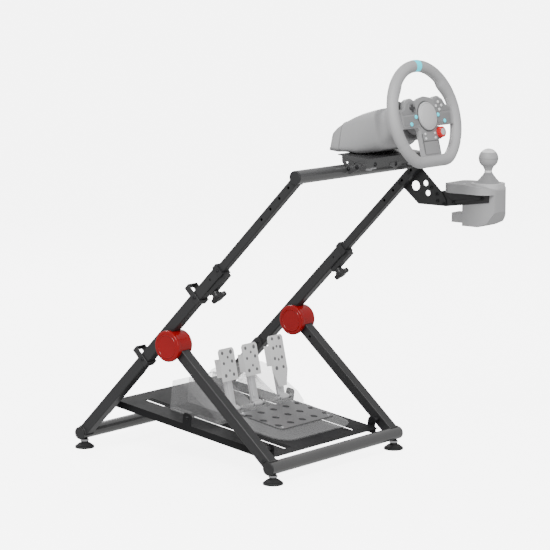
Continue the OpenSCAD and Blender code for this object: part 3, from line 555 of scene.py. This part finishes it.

# Dark ring round the hub pad and dark strips along the parting lines of the spoke covers: painted shade in the gaps
# between parts.
groove = Piece("hub_pad_groove_shade", "wheel", GROOVE_SHADE, "pale_plastic", 30)
groove.lathe(ON_WHEEL, [(36.6, 5.4), (36.6, 6.9), (35.8, 7.3), (34.4, 7.3), (33.2, 6.6), (33.2, 5.4)], 64)
for x in (-30.2, 30.2):
    groove.prism(ON_WHEEL, rounded([(x - 0.6, -88), (x + 0.6, -88), (x + 0.6, -40), (x - 0.6, -40)], 0.5),
                 5.0, 6.3, 0.3)
groove.prism(ON_WHEEL, rounded([(-30, -59.6), (30, -59.6), (30, -58.4), (-30, -58.4)], 0.5), 3.9, 4.6, 0.2)
groove.make()
pad = Piece("wheel_hub_pad", "wheel", PALE_LIGHT, "pale_plastic", 30)
pad.lathe(ON_WHEEL, [(33.5, 5.5), (33.5, 10), (32.3, 11.4), (30.6, 11.8), (29.9, 11.0), (29.2, 11.0), (28.5, 12.2),
                     (24, 13.4), (16, 14.5), (8, 15.0), (0, 15.2)], 64)
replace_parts(pad.make(), "wheel_pad")

DIAL_AT = shift(ON_WHEEL, 40, -41, 0)
PAD_AT = shift(ON_WHEEL, -53, 22, 0)
RIGHT_CLUSTER = ((53, 31), (64, 22), (42, 22), (53, 13))
blue = Piece("blue_buttons", "wheel", GLOWING_BLUE, "button_blue", 30)
bezel = Piece("button_bezels", "wheel", PALE_DARK, "pale_plastic", 30)
for x, y in ((44, 1), (-44, 1), (66, -15), (-66, -15)):
    blue.lathe(shift(ON_WHEEL, x, y, 0), [(4.6, 5), (4.6, 8.2), (4.1, 9.0), (2.5, 9.4), (0, 9.5)], 28)
    bezel.lathe(shift(ON_WHEEL, x, y, 0), [(6.6, 6), (6.6, 7.2), (6.1, 7.7), (5.3, 7.7), (5.0, 7.2), (5.0, 6)], 28)
for x, y in RIGHT_CLUSTER:
    bezel.lathe(shift(ON_WHEEL, x, y, 0), [(5.0, 6), (5.0, 7.1), (4.6, 7.4), (4.1, 7.4), (3.9, 7.0), (3.9, 6)], 24)
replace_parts(blue.make(), "wheel_buttons")
bezel.lathe(PAD_AT, [(13, 6), (13, 7.3), (12.5, 7.8), (11.6, 7.8), (11.2, 7.0), (0, 7.0)], 40)
bezel.make()
pale_btn = Piece("round_buttons", "wheel", WHITE, "pale_plastic", 30)
for x, y in RIGHT_CLUSTER:
    pale_btn.lathe(shift(ON_WHEEL, x, y, 0), [(3.5, 5), (3.5, 8.0), (3.1, 8.7), (0, 9.0)], 24)
for x, y in ((-24, -41), (24, -41), (-24, -52), (24, -52)):
    pale_btn.lathe(shift(ON_WHEEL, x * 0.8, y, 0), [(3.0, 5), (3.0, 7.2), (2.6, 7.8), (0, 8.0)], 24)
pale_btn.make()
cross = Piece("direction_pad", "wheel", BLACK_PAD, "black_plastic", 30)
pts = [(3, 3), (9, 3), (9, -3), (3, -3), (3, -9), (-3, -9), (-3, -3), (-9, -3), (-9, 3), (-3, 3), (-3, 9), (3, 9)][::-1]
cross.prism(PAD_AT, rounded(pts, [1.0, 1.4, 1.4] * 4), 6.8, 10.0, 0.9)
cross.lathe(PAD_AT, [(2.2, 9.9), (2.0, 10.2), (0, 9.7)], 20)
cross.make()

dial = Piece("dial_ring", "dial", DIAL, "dial_red", 30)
dial.lathe(DIAL_AT, [(10.5, 4.6), (13, 5.2), (13, 14.2), (12.2, 15.6), (9.0, 16.2), (8.6, 15.2)],
           96, lobes=24, lobe_depth=0.055)
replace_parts(dial.make(), "wheel_dial")
cap = Piece("dial_cap", "dial", PALE_LIGHT, "pale_plastic", 30)
cap.lathe(DIAL_AT, [(8.4, 12), (8.4, 15.6), (7.6, 16.4), (4, 17.0), (0, 17.2)], 40)
cap.make()
dial_seat = Piece("dial_seat", "wheel", PALE_DARK, "pale_plastic", 30)
dial_seat.lathe(DIAL_AT, [(15.5, -7.5), (15.5, 3.6), (14.8, 4.3), (6, 4.3)], 48)
dial_seat.make()

# ---------------------------------------------------------------- wheel base
def ring_between(bottom, top, half, power=3.2, narrow=0.0, n=64):
    """A rounded section across X, between two points of the side view, narrower at its bottom."""
    (y0, z0), (y1, z1) = bottom, top
    out = []
    for k in range(n):
        a = 2 * math.pi * k / n
        c, s = math.cos(a), math.sin(a)
        u = math.copysign(abs(c) ** (2 / power), c)
        v = math.copysign(abs(s) ** (2 / power), s)
        t = 0.5 + 0.5 * v
        wide = half * (1 - narrow * (1 - t) ** 2)
        out.append((wide * u, y0 + (y1 - y0) * t, z0 + (z1 - z0) * t))
    return out


base = Piece("wheel_base_body", "tray", PALE, "pale_plastic", 50)
# one moulded body with a waist behind the wheel, as (bottom, top, half width, squareness, narrowing) from its nose
stations = [((57.5, 47), (50.5, 77), 84, 4.0, 0), ((58, 43), (50.5, 83), 91, 6, 0), ((55, 40.5), (48, 89), 97, 7, 0),
            ((44, 39.4), (36.5, 100.5), 100.5, 7.5, 0.02), ((28, 39.3), (18, 114), 102.5, 8, 0.04),
            ((8, 39.3), (-8, 129.5), 103, 8, 0.08), ((-14, 39.5), (-30, 140.5), 103, 8, 0.15),
            ((-32, 43), (-44, 146.2), 103, 7.5, 0.24), ((-50, 49), (-56, 150.6), 103, 7.5, 0.30),
            ((-64, 55), (-66, 154), 103, 7, 0.33), ((-71, 59), (-70, 155.4), 102.4, 7, 0.34),
            ((-75, 62), (-72, 155.5), 99.5, 6.5, 0.34), ((-78, 66), (-73.2, 154.5), 93, 5.5, 0.32),
            ((-84, 71), (-75, 154.5), 85, 4.4, 0.26), ((-95, 75.5), (-78.5, 158.5), 80, 3.8, 0.18),
            ((-106, 78), (-83, 165.5), 81, 3.5, 0.1), ((-114.2, 80), (-86.4, 168.8), 84, 3.4, 0.04),
            ((-116.6, 82), (-87.9, 168.6), 83.5, 3.3, 0.02), ((-116.0, 86), (-88.6, 165), 78, 3.2, 0),
            ((-113.6, 87), (-87.0, 164.2), 76, 3.2, 0)]
base.loft(ON_TRAY, [ring_between(*s) for s in stations])
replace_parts(base.make(), "wheel_base")

seam = Piece("base_seams", "tray", PALE_DARK, "pale_plastic", 40)
line = ring_between((28, 39.1), (18, 114.3), 102.75, 8, 0.04, 96)
seam.sweep(ON_TRAY, line, 0.7, 6, closed=True)
seam.make()

trim = Piece("base_face_parts", "tray", PALE_DARK, "pale_plastic", 40)
trim.lathe(shift(ON_WHEEL, 0, 0, -49), [(47, -8), (47, 2.5), (45.5, 4), (41, 4.6), (39.5, 3.2), (26, 3.2)], 64)
trim.make()
sleeve = Piece("shaft_sleeve", "wheel", PALE_LIGHT, "pale_plastic", 40)
sleeve.lathe(ON_WHEEL, [(13.5, -44.5), (17, -44), (17, -40.6), (21, -39.4), (24, -38.2), (24, -37.5)], 48)
sleeve.make()

lip = Piece("base_nose_lip", "tray", PALE_DARK, "pale_plastic", 40)
lip.prism(ON_TRAY, rounded([(-92, 30), (92, 30), (90, 63), (-90, 63)], 6), 39.6, 47.5, 2.2)
lip.make()

# ---------------------------------------------------------------- tray bolts and the latch under its rear edge
tray_bolts = Piece("tray_bolts", "tray", DARK_BOLT, "zinc")
for s in (-1, 1):
    for y, z in ((-20, 9), (-44, 16)):
        tray_bolts.bolt(shift(ON_TRAY, s * 116.5, y, z) @ outward(s), 3.4, 2.6, "dome")
for x in (-84, 84):
    tray_bolts.bolt(shift(ON_TRAY, x, -72.7, 24) @ FACE_BACK, 3.6, 2.6, "dome")
tray_bolts.bolt(shift(ON_TRAY, -4, -73.4, 19) @ FACE_BACK, 3.6, 2.6, "dome")
tray_bolts.make()
tab = Piece("tray_latch", "tray", COAT_GLOSS, "black_coat", 40)
latch = rounded([(-2, 9), (4, 9), (26, 17.5), (30, 24), (-26, 24), (-22, 17.5)], 2)
tab.prism(shift(ON_TRAY, -4, -72.7, 0) @ FACE_BACK, latch, -0.2, 1.8, 0.5)
tab.make()
clamp_screws = Piece("base_clamp_screws", "tray", ZINC, "zinc")
for s in (-1, 1):
    c = shift(ON_TRAY, s * 84, -53.7, 12) @ Matrix.Rotation(math.pi, 4, "X")
    clamp_screws.lathe(c, [(0, -1), (9, -1), (9, 3), (8.2, 4.2), (3.4, 4.2), (3.4, 2.2), (0, 2.2)], 40,
                       lobes=10, lobe_depth=0.1)
clamp_screws.make()


# ---------------------------------------------------------------- weld beads where square tubes meet round ones
def weld(piece, place, width, corner, radius, end, flip):
    """A rippled bead round a square tube of that width, on a round tube whose axis crosses local z at end."""
    w = width / 2
    line = rounded([(-w, -w), (w, -w), (w, w), (-w, w)], corner, 4)
    dense = []
    for k in range(len(line)):
        p, q = Vector(line[k]), Vector(line[(k + 1) % len(line)])
        steps = max(1, int((q - p).length / 1.6))
        dense += [p.lerp(q, j / steps) for j in range(steps)]
    path = [(p.x * 1.03, p.y * 1.03, end + flip * math.sqrt(max(4.0, (radius + 0.5) ** 2 - p.y ** 2))) for p in dense]
    piece.sweep(place, path, 2.0, 8, closed=True,
                grow=lambda k, a: 1 + 0.16 * math.sin(k * 2.1) + 0.05 * math.sin(k * 0.7 + a))


frame_weld = Piece("frame_weld_beads", "frame", COAT, "black_coat", 60)
leg_weld = Piece("leg_weld_beads", "legs", COAT, "black_coat", 60)
bar_weld = Piece("bar_weld_beads", "upper_frame", COAT, "black_coat", 60)
for s in (-1, 1):
    weld(frame_weld, on_upright(s), UPRIGHT_W, TUBE_CORNER, TUBE_R, 0, 1)
    weld(leg_weld, on_leg(s), UPRIGHT_W, TUBE_CORNER, TUBE_R, LEG_LENGTH, -1)
    weld(bar_weld, on_upright(s), INNER_W, TUBE_CORNER, TUBE_R, FRAME_LENGTH, -1)
for p in (frame_weld, leg_weld, bar_weld):
    p.make()

# ---------------------------------------------------------------- hinge housings
hub = Piece("hinge_caps", "frame", RED, "red_gloss", 30)
for s in (-1, 1):
    c = shift(ROW, s * TUBE_HALF, HINGE_Y, HINGE_Z) @ FACE_X
    hub.lathe(shift(c, 0, 0, -34), [(30.3, 1.55), (30.3, 0.4), (29.4, -0.5), (27.8, -0.9), (26.8, -0.4),
                                    (26.2, 0.5), (0, 0.7)], 72)
    hub.lathe(shift(c, 0, 0, 23.5), [(20, -0.3), (20, 1.2), (19, 2.0), (8.6, 2.0), (8.6, 0.9), (6.5, 0.9)], 56)
hub.make()

# ---------------------------------------------------------------- bolts along the frame
fb = Piece("frame_bolts", "frame", DARK_BOLT, "zinc")
for s in (-1, 1):
    u = on_upright(s)
    out = outward(s)
    for z in (102, 262):
        fb.bolt(shift(u, -s * (14 + 3), 1, z) @ out.inverted(), 3.6, 2.4, "dome")
    fb.bolt(shift(u, s * 15.5, 0, 647.5) @ out, 2.6, 1.6, "dome")
u = on_upright(-1)
for z in (304, 546):
    fb.bolt(shift(u, -17, 0, z) @ FACE_X.inverted(), 3.4, 2.4, "dome")
fb.make()
lb = Piece("leg_bolts", "legs", DARK_BOLT, "zinc")
for s in (-1, 1):
    out = outward(s)
    lb.bolt(shift(on_leg(s), s * 14, 0, LEG_LENGTH - 22) @ out, 3.6, 2.4, "dome")
lb.make()
rivet = Piece("tube_plugs", "legs", BLACK, "black_plastic")
for s in (-1, 1):
    out = outward(s)
    rivet.lathe(shift(on_leg(s), s * 13.8, 0, 62) @ out, [(5, 0), (5, 0.8), (4.2, 1.4), (0, 1.5)], 28)
rivet.make()

ub = Piece("gusset_bolts", "upper_frame", DARK_BOLT, "zinc")
bx = TUBE_HALF + INNER_W / 2
for y, z in ((-102, 672), (-119, 657), (-121, 640), (-140, 634)):
    ub.bolt(shift(ROW, bx, y, z) @ FACE_X.inverted(), 3.2, 2.2, "cap")
for y, z in ((-166, 640), (-250, 655)):
    ub.bolt(shift(ROW, bx + 3.0, y, z) @ FACE_X.inverted(), 3.4, 2.4, "cap")
for a in (FRAME_LENGTH - 46, FRAME_LENGTH - 84):
    ub.bolt(shift(on_upright(1), -INNER_W / 2, 0, a) @ FACE_X.inverted(), 3.4, 2.4, "dome")
ub.make()

deck = Piece("deck_bolts", "pedal_deck", DARK_BOLT, "zinc")
for s in (-1, 1):
    out = outward(s)
    deck.bolt(shift(ON_PLATE, s * 202.5, 287.9, 16.6) @ out, 3.6, 2.4, "cap")
deck.make()

# ---------------------------------------------------------------- feet
for body, y, names in (("frame", BASE_DEPTH, "front"), ("legs", 0.0, "rear")):
    nuts = Piece(names + "_foot_nuts", body, ZINC, "zinc")
    soles = Piece(names + "_foot_soles", body, RUBBER, "foot_rubber")
    for s in (-1, 1):
        c = shift(ROW, s * 240.5, y, 0)
        nuts.lathe(c, [(9.8, 17.2), (11.0, 17.6), (11.0, 22.2), (9.8, 22.8), (9.4, 22.8)], 6, start=0.2)
        soles.lathe(c, [(23.4, 0.0), (24.6, 0.6), (24.6, 2.0), (24.2, 2.4), (24.6, 2.8), (24.6, 4.2), (24.1, 4.7),
                        (23.4, 4.9)], 56)
        soles.lathe(c, [(21.4, 7.2), (20.6, 7.6), (14.4, 12.3), (13.2, 12.6)], 56, lobes=28, lobe_depth=0.03)
    nuts.make()
    soles.make()

# ---------------------------------------------------------------- clamp knobs
for s, body in ((-1, "left_clamp"), (1, "right_clamp")):
    k = Piece(body + "_cap", body, BLACK_PAD, "black_plastic", 30)
    c = on_upright(s) @ at(0, 0, 594, math.pi / 2)
    k.lathe(shift(c, 0, 0, 45.6), [(9.5, -0.2), (9.5, 0.7), (8.7, 1.3), (7.8, 1.1), (7.2, 0.6), (0, 0.8)], 36)
    for j in range(3):
        a = math.radians(30 + 120 * j)
        k.lathe(shift(c, 15 * math.cos(a), 15 * math.sin(a), 43.3), [(5.0, -0.2), (5.0, 0.5), (4.4, 0.9), (0, 1.0)], 24)
    k.make()

# ---------------------------------------------------------------- pedals
dots = {"clutch": (38 - 90, "short"), "brake": (38, "short"), "throttle": (143, "long")}
SHORT = [(-16, 143, 4.5), (16, 143, 5.5), (2, 131, 3.5), (-16, 117, 4), (16, 119, 4.5), (2, 97, 3.5), (-15, 86, 5),
         (15, 86, 4.5)]
LONG = [(-13, 152, 4.5), (14, 151, 5), (-14, 128, 4.5), (0, 131, 3.5), (14, 128, 4.5), (-14, 101, 4.5), (0, 97, 3.5),
        (14, 101, 4.5), (-13, 76, 5.5), (14, 76, 4.5)]
PEDAL_Y, PEDAL_Z, PEDAL_TILT = 266, 20, math.radians(-20)
for body, (x, kind) in dots.items():
    q = ON_PLATE @ at(x, PEDAL_Y, PEDAL_Z, PEDAL_TILT)
    place = shift(q, 0, -8.5, 0) @ FACE_BACK
    stud = Piece(body + "_studs", body, STUD, "black_plastic", 30)
    for px, pz, r in (SHORT if kind == "short" else LONG):
        stud.lathe(shift(place, px, pz, 0), [(r - 0.15, -1.0), (r - 0.15, -0.1), (r * 0.8, 0.5), (r * 0.45, 0.9),
                                             (0, 1.0)], 24)
    stud.make()
    arm = Piece(body + "_arm_parts", body, ZINC, "zinc", 30)
    for pz in (94, 104):
        arm.bolt(shift(q, 0, 7, pz) @ FACE_BACK.inverted(), 3.0, 2.0, "dome")
    for sx in (-1, 1):
        arm.lathe(shift(q, sx * 14, 0, 0) @ outward(sx), [(7.2, -0.1), (7.2, 1.4), (6.4, 2.0), (4.1, 2.0)], 32)
    arm.make()
    rib = Piece(body + "_arm_rib", body, METAL, "pale_metal", 40)
    rib.prism(shift(q, 0, 0.5, 12) @ FACE_BACK, rounded([(-7, 4), (7, 4), (7, 66), (-7, 66)], 5), 0.0, 1.8, 0.8)
    rib.make()

heel = Piece("heel_screws", "pedal_deck", ZINC, "zinc", 30)
for px, py in ((-92, 104), (92, 104), (-90, 232), (104, 232)):
    heel.lathe(shift(ON_PLATE, 38 + px, py, 17.9), [(0, 0), (4.6, 0), (4.2, 1.0), (2.0, 1.3), (1.6, 0.5), (0, 0.5)], 28)
heel.make()
# A thin dark sheet under the heel plate, there only to darken its holes: painted shade.
under = Piece("heel_hole_shade_sheet", "pedal_deck", BLACK_PAD, "black_plastic", 40)
under.prism(ON_PLATE, rounded([(-62, 96), (136, 96), (149, 237), (-62, 237)], 8), 14.95, 15.12)
under.make()

# ---------------------------------------------------------------- shifter
GX, GY, GZ = 290.0, -243.0, 678.0
BOOT_FOOT, BOOT_RISE = 8.6, 32
BALL_R, BALL_Z, CAP_FROM = 24, 72, 38
GIMBAL = ROW @ Matrix.Translation((GX, GY, GZ))


def boot_ring(t, n=72):
    """The boot from its base at t = 0 to its neck at t = 1, with soft folds and four sewn corners."""
    out = []
    z = BOOT_FOOT + BOOT_RISE * t ** 0.92
    for k in range(n):
        a = 2 * math.pi * k / n
        square = (abs(math.cos(a)) ** 3.4 + abs(math.sin(a)) ** 3.4) ** (-1 / 3.4)
        mix = max(0.0, 1 - 1.5 * t)
        r = (33 - 25.6 * t ** 0.72) * (mix * (0.80 + 0.2 * square) / 0.92 + 1 - mix)
        fold = 0.4 * math.sin(2 * math.pi * (t * 4.2) + 0.5 * math.sin(2 * a)) * math.sin(math.pi * min(1, t * 1.02))
        pleat = 0.7 * math.cos(8 * a + 3 * t) * t * (1.2 - t)
        r += fold + pleat
        out.append((GX + r * math.cos(a), GY + r * math.sin(a), GZ + z + 0.35 * math.sin(3 * a + 5 * t)))
    return out


def boot_mesh(name, t0, t1, steps):
    n = 72
    mesh = bpy.data.meshes.new(name)
    rings = [boot_ring(t0 + (t1 - t0) * k / steps, n) for k in range(steps + 1)]
    verts = [tuple(ROW @ Vector(v)) for r in rings for v in r]
    faces = [(k * n + j, k * n + (j + 1) % n, (k + 1) * n + (j + 1) % n, (k + 1) * n + j)
             for k in range(steps) for j in range(n)]
    mesh.from_pydata(verts, [], faces)
    for f in mesh.polygons:
        f.use_smooth = True
    mesh.update()
    mesh.materials.append(CLOTH)
    ob = bpy.data.objects.new(name, mesh)
    scene.collection.objects.link(ob)
    return ob, sum(f.area for f in mesh.polygons)


low, low_area = boot_mesh("boot_lower", 0.0, 0.5, 20)
high, high_area = boot_mesh("boot_upper", 0.5, 1.0, 20)
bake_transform(low)
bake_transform(high)
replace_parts(low, "shifter_boot")

shell = Piece("shifter_top_parts", "upper_frame", PALE_LIGHT, "pale_plastic", 40)
ring_out = rounded([(GX - 37, GY - 37), (GX + 37, GY - 37), (GX + 37, GY + 37), (GX - 37, GY + 37)], 26)
ring_in = rounded([(GX - 31, GY - 31), (GX + 31, GY - 31), (GX + 31, GY + 31), (GX - 31, GY + 31)], 22)
n = len(ring_out)
verts, faces = [], []
for level, outline in ((675.5, ring_out), (689.6, ring_out), (690.5, shrink(ring_out, 1.2)),
                       (690.5, shrink(ring_in, -1.0)), (689.6, ring_in), (686.0, ring_in)):
    verts += [(x, y, level) for x, y in outline]
for lv in range(5):
    for k in range(n):
        faces.append((lv * n + k, lv * n + (k + 1) % n, (lv + 1) * n + (k + 1) % n, (lv + 1) * n + k))
shell.add(ROW, verts, faces)
shell.make()
screw = Piece("shifter_screws", "upper_frame", WHITE, "pale_metal", 30)
for x, y, z in ((250, -160, 687.4), (312, -160, 687.4), (250, -200, 687.5), (318, -196, 687.5)):
    screw.lathe(shift(ROW, x, y, z), [(0, 0), (4.2, 0), (3.9, 0.9), (1.6, 1.1), (1.2, 0.4), (0, 0.4)], 28)
screw.make()
collar = Piece("lever_collar", "shift_lever", WHITE, "pale_metal", 30)
collar.lathe(GIMBAL, [(5.2, 37), (9.6, 37.4), (9.9, 39.0), (9.2, 42.0), (8.0, 43.2), (5.1, 43.4)], 40)
collar.make()
knob = Piece("shift_ball_body", "shift_lever", PALE, "pale_plastic", 30)
prof = [(5.2, 41.5), (8.6, 42.0), (10.4, 46), (13.4, 52.5)]
for k in range(14):
    a = math.radians(-42 + (CAP_FROM + 42) * k / 13)
    prof.append((BALL_R * math.cos(a), BALL_Z + BALL_R * math.sin(a)))
prof += [(18.3, 86.6), (17.8, 86.0)]
knob.lathe(GIMBAL, prof, 56)
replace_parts(knob.make(), "shifter_ball")
top = Piece("shift_ball_cap", "shift_lever", WHITE, "pale_metal", 30)
cap_arc = [math.radians(40.5 + 49.5 * k / 11) for k in range(12)]
top.lathe(GIMBAL, [(17.7, 85.8), (18.2, 86.9)] +
          [(BALL_R * math.cos(a), BALL_Z + BALL_R * math.sin(a)) for a in cap_arc], 48)
top.make()
seam_ring = Piece("shift_ball_seam", "shift_lever", PALE_DARK, "pale_plastic", 30)
equator = [2 * math.pi * k / 64 for k in range(64)]
seam_ring.sweep(shift(GIMBAL, 0, 0, BALL_Z), [(BALL_R * math.cos(a), BALL_R * math.sin(a), 0) for a in equator],
                0.45, 8, closed=True)
seam_ring.make()

# ---------------------------------------------------------------- floor
floor_mat = material("floor", (0.93, 0.93, 0.93), 0.9, tone=0.004, bump=0.02, rough_var=0.02, emit=6.0)
bpy.ops.mesh.primitive_plane_add(size=60, location=(0, 0, 0))
floor = bpy.context.object
floor.name = "floor"
floor.data.materials.append(floor_mat)
floor.visible_diffuse = False
floor.visible_glossy = False
